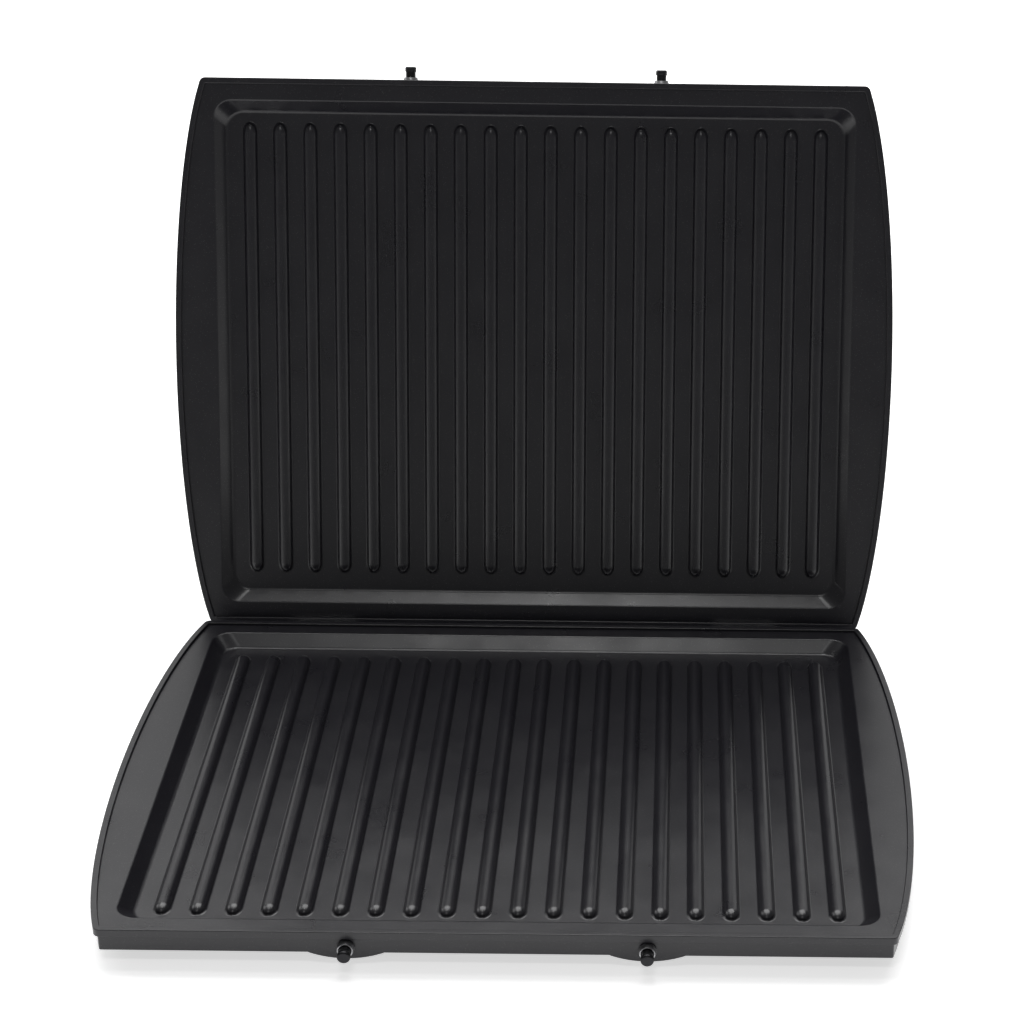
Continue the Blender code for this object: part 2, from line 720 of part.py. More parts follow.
def build():
    clear_scene()
    coating = make_material("non_stick_coating", (0.024, 0.023, 0.026), 0.42, 0.0)
    oxide = make_material("black_oxide_steel", (0.035, 0.035, 0.037), 0.4, 0.8)
    collar = make_material("bare_aluminium", (0.42, 0.42, 0.43), 0.45, 1.0)
    sheath = make_material("heater_sheath", (0.16, 0.15, 0.14), 0.45, 0.9)
    ceramic = make_material("ceramic", (0.72, 0.68, 0.6), 0.6, 0.0)
    plated = make_material("plated_steel", (0.5, 0.5, 0.5), 0.32, 1.0)
    materials = (coating, oxide, collar, sheath, ceramic, plated)

    lower = plate_pieces("lower", materials)
    upper = plate_pieces("upper", materials)
    for label, side in SIDES:
        lower.append(lower_leaf(f"lower_hinge_leaf_{label}", side, plated))
        lower += leaf_screws("lower", label, side, plated)
        lower.append(hinge_pin(f"hinge_pin_{label}", side, plated))
        lower.append(pin_clip(f"hinge_pin_clip_{label}", side, plated))
        upper.append(upper_leaf(f"upper_hinge_leaf_{label}", side, plated))
        upper += leaf_screws("upper", label, side, plated)
    lid = opened_lid()
    for piece in lower:
        place_lower(piece)
    for piece in upper:
        place_upper(piece, lid)


build()
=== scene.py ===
import math

import bmesh
import bpy
from mathutils import Matrix, Vector


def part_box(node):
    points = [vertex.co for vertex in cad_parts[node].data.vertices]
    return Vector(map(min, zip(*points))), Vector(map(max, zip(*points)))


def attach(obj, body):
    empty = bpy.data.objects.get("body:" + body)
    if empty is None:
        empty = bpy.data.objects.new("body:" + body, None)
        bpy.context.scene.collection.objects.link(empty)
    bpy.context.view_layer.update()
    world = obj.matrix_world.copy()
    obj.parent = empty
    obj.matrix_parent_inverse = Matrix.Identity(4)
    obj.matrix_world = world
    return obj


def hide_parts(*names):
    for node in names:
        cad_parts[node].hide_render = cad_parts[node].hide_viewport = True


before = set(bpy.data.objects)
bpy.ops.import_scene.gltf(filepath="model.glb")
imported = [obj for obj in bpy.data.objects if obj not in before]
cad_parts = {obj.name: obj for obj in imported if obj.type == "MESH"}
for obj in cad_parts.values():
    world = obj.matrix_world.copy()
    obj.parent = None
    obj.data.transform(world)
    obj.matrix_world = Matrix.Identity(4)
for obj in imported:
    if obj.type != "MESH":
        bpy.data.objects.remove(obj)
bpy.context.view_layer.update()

mm = 0.001
# How far a cutting tool reaches past the face it opens, and how deep joined pieces run into each other.
past = 1 * mm
overlap = 0.5 * mm
# Cuts keep points this close to the plane as they are.
hair = 0.001 * mm
closeEnough = 0.02 * mm


def deselectAll():
    if bpy.context.mode != "OBJECT":
        bpy.ops.object.mode_set(mode="OBJECT")
    bpy.ops.object.select_all(action="DESELECT")


def activate(obj):
    deselectAll()
    obj.select_set(True)
    bpy.context.view_layer.objects.active = obj


def startEdit(obj, kind="FACE"):
    activate(obj)
    bpy.ops.object.mode_set(mode="EDIT")
    bpy.ops.mesh.select_mode(type=kind)
    bpy.ops.mesh.select_all(action="DESELECT")


def endEdit():
    bpy.ops.object.mode_set(mode="OBJECT")


def pick(parts, test):
    mesh = bmesh.from_edit_mesh(bpy.context.object.data)
    for part in getattr(mesh, parts):
        part.select_set(False)
    for part in getattr(mesh, parts):
        if test(part):
            part.select_set(True)
    mesh.select_flush_mode()
    bmesh.update_edit_mesh(bpy.context.object.data)


def middle(part):
    return sum((v.co for v in part.verts), Vector()) / len(part.verts)


def near(value, target):
    return abs(value - target) < closeEnough


def flatAt(part, z):
    return all(near(v.co.z, z) for v in part.verts)


def upright(edge):
    first, second = edge.verts
    return near(first.co.x, second.co.x) and near(first.co.y, second.co.y)


def bentBy(edge, degrees):
    return len(edge.link_faces) == 2 and edge.calc_face_angle(0) > math.radians(degrees)


def extrudeBy(z):
    bpy.ops.mesh.extrude_region_move(TRANSFORM_OT_translate={"value": (0, 0, z)})


def roundEdges(test, width, segments=3):
    pick("edges", test)
    bpy.ops.mesh.bevel(offset=width, offset_type="OFFSET", segments=segments, profile=0.5,
                       affect="EDGES", clamp_overlap=True, loop_slide=False)


def settle(obj):
    activate(obj)
    bpy.ops.object.transform_apply(location=True, rotation=True, scale=True)
    return obj


def join(objs):
    activate(objs[0])
    for obj in objs:
        obj.select_set(True)
    bpy.ops.object.join()
    return bpy.context.object


def copyOf(obj):
    twin = obj.copy()
    twin.data = obj.data.copy()
    bpy.context.scene.collection.objects.link(twin)
    return twin


def combine(obj, tool, operation):
    activate(obj)
    step = obj.modifiers.new("combine", "BOOLEAN")
    step.operation = operation
    step.object = tool
    bpy.ops.object.modifier_apply(modifier=step.name)
    bpy.data.objects.remove(tool, do_unlink=True)


def addBox(low, high):
    bpy.ops.mesh.primitive_cube_add(size=1, location=(Vector(low) + Vector(high)) / 2)
    bpy.context.object.scale = Vector(high) - Vector(low)
    return settle(bpy.context.object)


def addRod(radius, low, high, x=0.0, y=0.0, sides=48):
    bpy.ops.mesh.primitive_cylinder_add(vertices=sides, radius=radius, depth=high - low,
                                        location=(x, y, (low + high) / 2))
    return settle(bpy.context.object)


def finishSurface(obj):
    activate(obj)
    bpy.ops.object.shade_smooth_by_angle(angle=math.radians(30))
    weights = obj.modifiers.new("weights", "WEIGHTED_NORMAL")
    weights.keep_sharp = True
    bpy.ops.object.modifier_apply(modifier=weights.name)


# The grill plate, modelled once in its own coordinates: z = 0 is the rim, the casting hangs below it.
plateLow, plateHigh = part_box("lower_plate")
rimHeight = plateHigh.z

plate = {
    "width": plateHigh.x - plateLow.x,
    "depth": plateHigh.y - plateLow.y,
    "bow": 12.5 * mm,
    "arcDepth": 130 * mm,
    "cornerRadius": 1.8 * mm,
    "lipWidth": 2.4 * mm,
    "lipHeight": 1.0 * mm,
    "upperTier": 3.0 * mm,
    "skirt": 9.3 * mm,
    "tierStep": 1.5 * mm,
    "wall": 2.0 * mm,
    "sideFlange": 5.0 * mm,
    "frontFlange": 9.2 * mm,
    "rearFlange": 9.0 * mm,
    "recessDepth": 5.0 * mm,
    "wallRun": 4.6 * mm,
    "recessRadius": 7.5 * mm,
    "floorFillet": 0.9 * mm,
    "brimFillet": 0.6 * mm,
    "edgeSoftening": 0.3 * mm,
    "outlineSides": 192,
    "leastCorner": 0.6 * mm,
    "cornerRoom": 5 * mm,
    "rimOverlap": 1.5 * mm,
    "undersideSpread": 0.6 * mm,
    "undersideFillet": 1.5 * mm,
}
halfDepth = plate["depth"] / 2
cornerX = plate["width"] / 2 - plate["bow"]
flangeZ = -plate["lipHeight"]
floorZ = flangeZ - plate["recessDepth"]
undersideZ = floorZ - plate["wall"]
wallSlope = plate["wallRun"] / plate["recessDepth"]


def outlineBlank(top, bottom, inset=0.0):
    # Slab with the plate's outline: the two halves of an ellipse moved apart, cut off at front and rear.
    arcWidth = plate["bow"] / (1 - math.sqrt(1 - (halfDepth / plate["arcDepth"]) ** 2))
    shift = plate["width"] / 2 - arcWidth - inset
    reach = halfDepth - inset
    bpy.ops.mesh.primitive_cylinder_add(vertices=plate["outlineSides"], radius=1, depth=top - bottom,
                                        location=(0, 0, (top + bottom) / 2))
    blank = bpy.context.object
    blank.scale = (arcWidth, plate["arcDepth"], 1)
    settle(blank)
    startEdit(blank, "VERT")
    for side in (-1, 1):
        pick("verts", lambda v: v.co.x * side > 0.01 * mm)
        bpy.ops.transform.translate(value=(side * shift, 0, 0))
    for side in (-1, 1):
        bpy.ops.mesh.select_all(action="SELECT")
        bpy.ops.mesh.bisect(plane_co=(0, side * reach, 0), plane_no=(0, side, 0),
                            use_fill=True, clear_outer=True, threshold=hair)
    bpy.ops.mesh.select_mode(type="EDGE")
    # One longer facet next to each corner leaves the corner's rounding room.
    pick("edges", lambda e: upright(e) and reach - plate["cornerRoom"] < abs(middle(e).y) < reach - 0.01 * mm)
    bpy.ops.mesh.dissolve_edges(use_verts=True)
    roundEdges(lambda e: upright(e) and near(abs(middle(e).y), reach),
               max(plate["cornerRadius"] - inset, plate["leastCorner"]), 6)
    endEdit()
    return blank


def softenAt(obj, *heights):
    startEdit(obj, "EDGE")
    roundEdges(lambda e: any(flatAt(e, z) for z in heights) and bentBy(e, 40), plate["edgeSoftening"], 3)
    endEdit()


def taperedPan(topZ, bottomZ, grow, fillet):
    # Rounded box whose sides lean like the recess walls; grow widens it all round at the flange.
    up = topZ - flangeZ
    halfX = cornerX - plate["sideFlange"] + grow + up * wallSlope
    front = -halfDepth + plate["frontFlange"] - grow - up * wallSlope
    rear = halfDepth - plate["rearFlange"] + grow + up * wallSlope
    lean = (topZ - bottomZ) * wallSlope
    pan = addBox((-halfX, front, bottomZ), (halfX, rear, topZ))
    startEdit(pan, "EDGE")
    roundEdges(upright, plate["recessRadius"] + grow, 10)
    bpy.ops.mesh.select_mode(type="FACE")
    pick("faces", lambda f: flatAt(f, bottomZ))
    middleY = (front + rear) / 2
    bpy.ops.transform.resize(value=(1 - lean / halfX, 1 - lean / ((rear - front) / 2), 1),
                             center_override=(0, middleY, bottomZ))
    if fillet:
        bpy.ops.mesh.select_mode(type="EDGE")
        roundEdges(lambda e: flatAt(e, bottomZ), fillet, 5)
    endEdit()
    return pan


def panBlank():
    blank = outlineBlank(0, -plate["upperTier"])
    softenAt(blank, 0, -plate["upperTier"])
    skirt = outlineBlank(-plate["lipHeight"], -plate["skirt"], plate["tierStep"])
    softenAt(skirt, -plate["skirt"])
    combine(blank, skirt, "UNION")
    hollow = outlineBlank(flangeZ - plate["wall"], -plate["skirt"] - past, plate["tierStep"] + plate["wall"])
    combine(blank, hollow, "DIFFERENCE")
    combine(blank, outlineBlank(past, flangeZ, plate["lipWidth"]), "DIFFERENCE")
    softenAt(blank, 0)
    tub = taperedPan(flangeZ - plate["wall"] + 1 * mm, undersideZ, plate["undersideSpread"],
                     plate["undersideFillet"])
    combine(blank, tub, "UNION")
    recess = taperedPan(flangeZ + plate["rimOverlap"], floorZ, 0, plate["floorFillet"])
    combine(blank, recess, "DIFFERENCE")
    # Only the recess's own edge is rounded, not the foot of the lip.
    sideLimit = cornerX - plate["sideFlange"] + 0.5 * mm
    frontLimit = -halfDepth + plate["frontFlange"] - 0.5 * mm
    rearLimit = halfDepth - plate["rearFlange"] + 0.5 * mm
    startEdit(blank, "EDGE")
    roundEdges(lambda e: flatAt(e, flangeZ) and bentBy(e, 20) and abs(middle(e).x) < sideLimit
               and frontLimit < middle(e).y < rearLimit, plate["brimFillet"], 4)
    endEdit()
    return blank


rib = {
    "count": 20,
    "pitch": 12.5 * mm,
    "halfWidth": 2.75 * mm,
    "height": 2.6 * mm,
    "endLength": 4.5 * mm,
    "frontMargin": 4.7 * mm,
    "rearMargin": 7.9 * mm,
    "fillet": 0.9 * mm,
    "lift": 0.3 * mm,
    "sunk": 0.6 * mm,
}


def oneRib(x):
    front = -halfDepth + plate["frontFlange"] + plate["wallRun"] + rib["frontMargin"]
    rear = halfDepth - plate["rearFlange"] - plate["wallRun"] - rib["rearMargin"]
    centreY, length = (front + rear) / 2, (rear - front) / 2
    width, cutZ = rib["halfWidth"], floorZ + rib["fillet"]
    bpy.ops.mesh.primitive_uv_sphere_add(segments=32, ring_count=15, radius=1, rotation=(math.pi / 2, 0, 0))
    piece = settle(bpy.context.object)
    piece.scale = (width, rib["endLength"], rib["height"] - rib["lift"])
    piece.location = (x, centreY, floorZ + rib["lift"])
    settle(piece)
    startEdit(piece, "VERT")
    for side in (-1, 1):
        pick("verts", lambda v: (v.co.y - centreY) * side > 0)
        bpy.ops.transform.translate(value=(0, side * (length - rib["endLength"]), 0))
    bpy.ops.mesh.select_all(action="SELECT")
    bpy.ops.mesh.bisect(plane_co=(0, 0, cutZ), plane_no=(0, 0, -1), use_fill=True,
                        clear_outer=True, threshold=hair)
    bpy.ops.mesh.select_mode(type="FACE")
    pick("faces", lambda f: flatAt(f, cutZ))
    # The foot flares out along a quarter circle and then goes straight down into the floor.
    out, up = 0.0, rib["fillet"]
    for degrees in (22, 45, 68, 90):
        turn = math.radians(degrees)
        nextOut = rib["fillet"] * (1 - math.cos(turn))
        nextUp = rib["fillet"] * (1 - math.sin(turn))
        extrudeBy(nextUp - up)
        widen, lengthen = (width + nextOut) / (width + out), (length + nextOut) / (length + out)
        bpy.ops.transform.resize(value=(widen, lengthen, 1), center_override=(x, centreY, 0))
        out, up = nextOut, nextUp
    extrudeBy(-rib["sunk"])
    endEdit()
    return piece


def addRibs(casting):
    first = oneRib(-rib["pitch"] * (rib["count"] - 1) / 2)
    ribs = [first]
    for number in range(1, rib["count"]):
        twin = copyOf(first)
        twin.location.x = rib["pitch"] * number
        ribs.append(settle(twin))
    combine(casting, join(ribs), "UNION")


casting = panBlank()
print("pan", len(casting.data.vertices), "vertices")
addRibs(casting)
print("ribs", len(casting.data.vertices), "vertices")


def turned(profile, sides=40):
    # Stacks (radius, height) rings by extruding and scaling a disc.
    radius, height = profile[0]
    bpy.ops.mesh.primitive_circle_add(vertices=sides, radius=radius, fill_type="NGON",
                                      location=(0, 0, height))
    piece = settle(bpy.context.object)
    startEdit(piece, "FACE")
    bpy.ops.mesh.select_all(action="SELECT")
    for nextRadius, nextHeight in profile[1:]:
        extrudeBy(nextHeight - height)
        bpy.ops.transform.resize(value=(nextRadius / radius, nextRadius / radius, 1),
                                 center_override=(0, 0, nextHeight))
        radius, height = nextRadius, nextHeight
    bpy.ops.mesh.select_all(action="SELECT")
    bpy.ops.mesh.normals_make_consistent(inside=False)
    endEdit()
    return piece


def turnTo(obj, axis, place):
    obj.rotation_euler = Vector((0, 0, 1)).rotation_difference(Vector(axis)).to_euler()
    obj.location = place
    return settle(obj)


heater = {
    "radius": 3.0 * mm,
    "clearance": 0.25 * mm,
    "halfSpan": 97 * mm,
    "front": -82.5 * mm,
    "rear": 75 * mm,
    "bend": 12 * mm,
    "endX": 20 * mm,
    "endY": 98 * mm,
    "channelEndY": 92 * mm,
    "channelHalfWidth": 5.5 * mm,
    "channelGrip": 1.8 * mm,
    "channelRounding": 1.6 * mm,
    "floorGap": 0.5 * mm,
    "bendSteps": 10,
}
heaterZ = undersideZ - heater["floorGap"] - heater["radius"]
channelBottom = heaterZ - heater["channelGrip"]


def carryRound(section, endY):
    # Carries an open section, standing at the right end, round the heater's route and closes both ends.
    bend, endX, side = heater["bend"], heater["endX"], heater["halfSpan"]
    rear, front = heater["rear"], heater["front"]
    inner, outer = endX + bend, side - bend
    startEdit(section, "EDGE")
    bpy.ops.mesh.select_all(action="SELECT")

    def straight(x=0.0, y=0.0):
        bpy.ops.mesh.extrude_edges_move(TRANSFORM_OT_translate={"value": (x, y, 0)})

    def corner(x, y, degrees):
        bpy.ops.mesh.spin(steps=heater["bendSteps"], angle=math.radians(degrees), center=(x, y, 0),
                          axis=(0, 0, -1))

    straight(y=rear + bend - endY)
    corner(inner, rear + bend, 90)
    straight(x=outer - inner)
    corner(outer, rear - bend, -90)
    straight(y=front + 2 * bend - rear)
    corner(outer, front + bend, -90)
    straight(x=-2 * outer)
    corner(-outer, front + bend, -90)
    straight(y=rear - front - 2 * bend)
    corner(-outer, rear - bend, -90)
    straight(x=outer - inner)
    corner(-inner, rear + bend, 90)
    straight(y=endY - rear - bend)
    for side in (-1, 1):
        pick("edges", lambda e: e.is_boundary and middle(e).x * side > 0)
        bpy.ops.mesh.edge_face_add()
    bpy.ops.mesh.select_all(action="SELECT")
    bpy.ops.mesh.normals_make_consistent(inside=False)
    endEdit()
    return section


def heaterTube(radius):
    bpy.ops.mesh.primitive_circle_add(vertices=28, radius=radius, rotation=(math.pi / 2, 0, 0),
                                      location=(heater["endX"], heater["endY"], heaterZ))
    return carryRound(settle(bpy.context.object), heater["endY"])


def channelRidge():
    top = undersideZ + overlap
    place = (heater["endX"], heater["channelEndY"], (top + channelBottom) / 2)
    bpy.ops.mesh.primitive_plane_add(size=1, rotation=(math.pi / 2, 0, 0), location=place)
    section = bpy.context.object
    section.scale = (2 * heater["channelHalfWidth"], top - channelBottom, 1)
    settle(section)
    startEdit(section, "VERT")
    pick("verts", lambda v: near(v.co.z, channelBottom))
    bpy.ops.mesh.bevel(offset=heater["channelRounding"], offset_type="OFFSET", segments=4, affect="VERTICES")
    bpy.ops.mesh.select_mode(type="FACE")
    bpy.ops.mesh.select_all(action="SELECT")
    bpy.ops.mesh.delete(type="ONLY_FACE")
    endEdit()
    return carryRound(section, heater["channelEndY"])


pad = {
    "centreRadius": 13 * mm,
    "supportRadius": 5 * mm,
    "supportX": 112 * mm,
    "supportY": 86 * mm,
    "draft": 0.5 * mm,
    "rounding": 0.4 * mm,
}
screw = {
    "bossRadius": 3.3 * mm,
    "shankRadius": 1.3 * mm,
    "headRadius": 2.7 * mm,
    "headHeight": 1.5 * mm,
    "depth": 4.6 * mm,
    "slotWidth": 0.6 * mm,
    "slotDepth": 0.8 * mm,
    "clearance": 0.3 * mm,
}
hinge = {
    "spacing": 180 * mm,
    "screwSpacing": 20 * mm,
    "screwSetback": 7.0 * mm,
    "leafFront": 11.5 * mm,
    "leafWidth": 30 * mm,
    "leafThickness": 1.5 * mm,
    "leafCorner": 3 * mm,
    "leafSoftening": 0.25 * mm,
    "knuckleRadius": 3.2 * mm,
    "knuckleLength": 8.0 * mm,
    "knuckleSpacing": 0.4 * mm,
    "knuckleSoftening": 0.3 * mm,
    "cheekInset": 0.1 * mm,
    "stopGap": 0.5 * mm,
    "armThickness": 2.4 * mm,
    "pinRadius": 1.6 * mm,
    "closedGap": 1.0 * mm,
    "setback": 2.0 * mm,
    "angle": math.radians(105),
}
axisY = halfDepth + hinge["setback"]
axisDrop = plate["upperTier"] + math.sqrt(
    (hinge["knuckleRadius"] + hinge["knuckleSpacing"]) ** 2 - hinge["setback"] ** 2)
leafTop = -axisDrop - hinge["knuckleRadius"] - hinge["stopGap"]
leafBottom = leafTop - hinge["leafThickness"]
screwBossZ = leafTop + screw["clearance"]
screwY = halfDepth - hinge["screwSetback"]
upperAxisZ = axisDrop + hinge["closedGap"]
padZ = -rimHeight


def screwPlaces():
    for side in (-1, 1):
        for offset in (-1, 1):
            yield side * hinge["spacing"] / 2 + offset * hinge["screwSpacing"] / 2, screwY


def addPads(casting):
    places = [(0, 0, pad["centreRadius"])]
    places += [(x * pad["supportX"], y * pad["supportY"], pad["supportRadius"])
               for x in (-1, 1) for y in (-1, 1)]
    for x, y, radius in places:
        rod = turned(((radius + pad["draft"], undersideZ + overlap), (radius, padZ)), 48)
        startEdit(rod, "EDGE")
        roundEdges(lambda e: flatAt(e, padZ), pad["rounding"], 3)
        endEdit()
        rod.location = (x, y, 0)
        combine(casting, settle(rod), "UNION")
    for x, y in screwPlaces():
        boss = addRod(screw["bossRadius"], screwBossZ, flangeZ - plate["wall"] + overlap, x, y)
        combine(casting, boss, "UNION")
    for x, y in screwPlaces():
        hole = addRod(screw["shankRadius"] + screw["clearance"], screwBossZ - past,
                      screwBossZ + screw["depth"] + screw["clearance"], x, y, 32)
        combine(casting, hole, "DIFFERENCE")


latch = {
    "spacing": 104 * mm,
    "drop": 7.0 * mm,
    "reach": 5.4 * mm,
    "radius": 2.05 * mm,
    "rootDepth": 4.7 * mm,
    "boreDepth": 5 * mm,
    "headRim": 0.3 * mm,
    "headLength": 2.2 * mm,
    "headRounding": 0.75 * mm,
    "tipAllowance": 0.06 * mm,
    "bossWidth": 26 * mm,
    "bossDepth": 6 * mm,
    "bossDrop": 2.4 * mm,
    "collarWall": 0.4 * mm,
    "collarFlare": 0.35 * mm,
    "collarReach": 1.0 * mm,
    "clearance": 0.3 * mm,
}
latchFront = -halfDepth + plate["tierStep"]


def addLatchBosses(casting):
    half, drop = latch["bossWidth"] / 2, latch["bossDrop"]
    arc = (half ** 2 + drop ** 2) / (2 * drop)
    for side in (-1, 1):
        x = side * latch["spacing"] / 2
        boss = addRod(arc, 0, latch["bossDepth"], sides=192)
        # The boss stands a hair behind the skirt's face, so that the two faces don't coincide.
        turnTo(boss, (0, 1, 0), (x, latchFront + 0.01 * mm, -plate["skirt"] - drop + arc))
        startEdit(boss, "VERT")
        bpy.ops.mesh.select_all(action="SELECT")
        bpy.ops.mesh.bisect(plane_co=(0, 0, -plate["skirt"]), plane_no=(0, 0, 1), use_fill=True,
                            clear_outer=True, threshold=hair)
        bpy.ops.mesh.select_mode(type="FACE")
        pick("faces", lambda f: flatAt(f, -plate["skirt"]))
        extrudeBy(plate["skirt"] - plate["upperTier"] + overlap)
        endEdit()
        combine(casting, boss, "UNION")
        bore = latch["radius"] + latch["clearance"]
        pocket = bore + latch["collarWall"] + latch["collarFlare"] + latch["clearance"]
        seat = 0.03 * mm
        profile = ((pocket, -3.5 * mm), (pocket, seat), (bore, seat + 2 * hair), (bore, latch["boreDepth"]))
        hole = turned(profile, 48)
        turnTo(hole, (0, 1, 0), (x, latchFront, -latch["drop"]))
        combine(casting, hole, "DIFFERENCE")


addLatchBosses(casting)
addPads(casting)
combine(casting, channelRidge(), "UNION")
combine(casting, heaterTube(heater["radius"] + heater["clearance"]), "DIFFERENCE")
print("casting", len(casting.data.vertices), "vertices")

bodies = {"lower": "base", "upper": "lid"}


def placeOn(level, piece):
    # Plate coordinates to the shared frame: the lower plate is lifted, the upper one turned over and opened.
    if level == "lower":
        piece.location = (0, 0, rimHeight)
        return settle(piece)
    piece.scale = (1, 1, -1)
    settle(piece)
    piece.location = (0, -axisY, upperAxisZ)
    settle(piece)
    piece.rotation_euler = (-hinge["angle"], 0, 0)
    piece.location = (0, axisY, rimHeight - axisDrop)
    settle(piece)
    startEdit(piece, "FACE")
    bpy.ops.mesh.select_all(action="SELECT")
    bpy.ops.mesh.normals_make_consistent(inside=False)
    endEdit()
    return piece


def handOver(piece, node, body, material):
    piece.name = node + "_surface"
    piece.data.materials.clear()
    piece.data.materials.append(material)
    finishSurface(piece)
    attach(piece, body)
    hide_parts(node)


def handOut(master, node, material, spacing=0.0, levels=("lower", "upper")):
    # Copies a piece modelled in plate coordinates to both plates, and to both sides if it has a spacing.
    sides = (("_left", -1), ("_right", 1)) if spacing else (("", 0),)
    for level in levels:
        for label, side in sides:
            twin = copyOf(master)
            twin.location = (side * spacing / 2, 0, 0)
            settle(twin)
            placeOn(level, twin)
            handOver(twin, f"{level}_{node}{label}", bodies[level], material)
    bpy.data.objects.remove(master, do_unlink=True)


def newMaterial(name, color, roughness, metallic, specular=0.5):
    material = bpy.data.materials.new(name)
    material.use_nodes = True
    shader = material.node_tree.nodes["Principled BSDF"]
    shader.inputs["Base Color"].default_value = (*color, 1)
    shader.inputs["Roughness"].default_value = roughness
    shader.inputs["Metallic"].default_value = metallic
    shader.inputs["Specular IOR Level"].default_value = specular
    return material


def newGroup(name, inputs, outputs):
    group = bpy.data.node_groups.new(name, "ShaderNodeTree")
    for label, kind, value in inputs:
        group.interface.new_socket(label, in_out="INPUT", socket_type=kind).default_value = value
    for label, kind in outputs:
        group.interface.new_socket(label, in_out="OUTPUT", socket_type=kind)
    return group, group.nodes.new("NodeGroupInput"), group.nodes.new("NodeGroupOutput")


def mapRange(group, source, low, high, outLow, outHigh):
    node = group.nodes.new("ShaderNodeMapRange")
    group.links.new(source, node.inputs["Value"])
    for label, value in (("From Min", low), ("From Max", high), ("To Min", outLow), ("To Max", outHigh)):
        node.inputs[label].default_value = value
    return node.outputs["Result"]


def noise(group, coordinates, scale, detail=2.0):
    node = group.nodes.new("ShaderNodeTexNoise")
    node.inputs["Scale"].default_value = scale
    node.inputs["Detail"].default_value = detail
    group.links.new(coordinates, node.inputs["Vector"])
    return node.outputs["Fac"]


def arithmetic(group, operation, first, second):
    node = group.nodes.new("ShaderNodeMath")
    node.operation = operation
    group.links.new(first, node.inputs[0])
    group.links.new(second, node.inputs[1])
    return node.outputs[0]


coat = {
    "black": (0.0098, 0.0094, 0.0124),
    "fleck": (0.22, 0.215, 0.21),
    "cellScale": 2600,
    "grainScale": 1400,
    "glossDriftScale": 60,
    "grainDepth": 0.06 * mm,
}


def sprayedCoating():
    # Fine spray texture with sparse bright flecks, as PTFE coatings have.
    group, given, out = newGroup(
        "sprayed coating",
        (("Fleck", "NodeSocketFloat", 0.35), ("Grain", "NodeSocketFloat", 0.3)),
        (("Fleck Mask", "NodeSocketFloat"), ("Roughness", "NodeSocketFloat"), ("Normal", "NodeSocketVector")))
    place = group.nodes.new("ShaderNodeTexCoord").outputs["Object"]
    cells = group.nodes.new("ShaderNodeTexVoronoi")
    cells.inputs["Scale"].default_value = coat["cellScale"]
    group.links.new(place, cells.inputs["Vector"])
    split = group.nodes.new("ShaderNodeSeparateColor")
    group.links.new(cells.outputs["Color"], split.inputs["Color"])
    chosen = mapRange(group, split.outputs["Red"], 0.86, 1.0, 0.0, 1.0)
    centre = mapRange(group, cells.outputs["Distance"], 0.45, 0.2, 0.0, 1.0)
    spots = arithmetic(group, "MULTIPLY", chosen, centre)
    fleck = arithmetic(group, "MULTIPLY", spots, given.outputs["Fleck"])
    group.links.new(fleck, out.inputs["Fleck Mask"])
    gloss = mapRange(group, noise(group, place, coat["glossDriftScale"]), 0.3, 0.7, 0.27, 0.33)
    group.links.new(gloss, out.inputs["Roughness"])
    bump = group.nodes.new("ShaderNodeBump")
    bump.inputs["Distance"].default_value = coat["grainDepth"]
    group.links.new(noise(group, place, coat["grainScale"], 3), bump.inputs["Height"])
    group.links.new(given.outputs["Grain"], bump.inputs["Strength"])
    group.links.new(bump.outputs["Normal"], out.inputs["Normal"])
    return group


def coatingMaterial(group):
    material = newMaterial("non-stick coating", coat["black"], 0.42, 0.0)
    nodes, links = material.node_tree.nodes, material.node_tree.links
    spray = nodes.new("ShaderNodeGroup")
    spray.node_tree = group
    shader = nodes["Principled BSDF"]
    mix = nodes.new("ShaderNodeMix")
    mix.data_type = "RGBA"
    mix.inputs["A"].default_value = (*coat["black"], 1)
    mix.inputs["B"].default_value = (*coat["fleck"], 1)
    links.new(spray.outputs["Fleck Mask"], mix.inputs["Factor"])
    links.new(mix.outputs["Result"], shader.inputs["Base Color"])
    links.new(spray.outputs["Roughness"], shader.inputs["Roughness"])
    links.new(spray.outputs["Normal"], shader.inputs["Normal"])
    return material


def wornMetal():
    # Slow tone drift and fine scatter for bare and plated metal.
    group, given, out = newGroup(
        "worn metal",
        (("Light", "NodeSocketColor", (1, 1, 1, 1)), ("Dark", "NodeSocketColor", (0, 0, 0, 1)),
         ("Roughness", "NodeSocketFloat", 0.35)),
        (("Color", "NodeSocketColor"), ("Roughness", "NodeSocketFloat")))
    place = group.nodes.new("ShaderNodeTexCoord").outputs["Object"]
    drift = mapRange(group, noise(group, place, 90, 4), 0.35, 0.65, 0.0, 1.0)
    mix = group.nodes.new("ShaderNodeMix")
    mix.data_type = "RGBA"
    group.links.new(drift, mix.inputs["Factor"])
    group.links.new(given.outputs["Light"], mix.inputs["A"])
    group.links.new(given.outputs["Dark"], mix.inputs["B"])
    group.links.new(mix.outputs["Result"], out.inputs["Color"])
    scatter = mapRange(group, noise(group, place, 700), 0.3, 0.7, -0.06, 0.06)
    group.links.new(arithmetic(group, "ADD", scatter, given.outputs["Roughness"]), out.inputs["Roughness"])
    return group


def metalMaterial(name, group, light, dark, roughness, metallic):
    material = newMaterial(name, light, roughness, metallic)
    nodes, links = material.node_tree.nodes, material.node_tree.links
    wear = nodes.new("ShaderNodeGroup")
    wear.node_tree = group
    wear.inputs["Light"].default_value = (*light, 1)
    wear.inputs["Dark"].default_value = (*dark, 1)
    wear.inputs["Roughness"].default_value = roughness
    shader = nodes["Principled BSDF"]
    links.new(wear.outputs["Color"], shader.inputs["Base Color"])
    links.new(wear.outputs["Roughness"], shader.inputs["Roughness"])
    return material


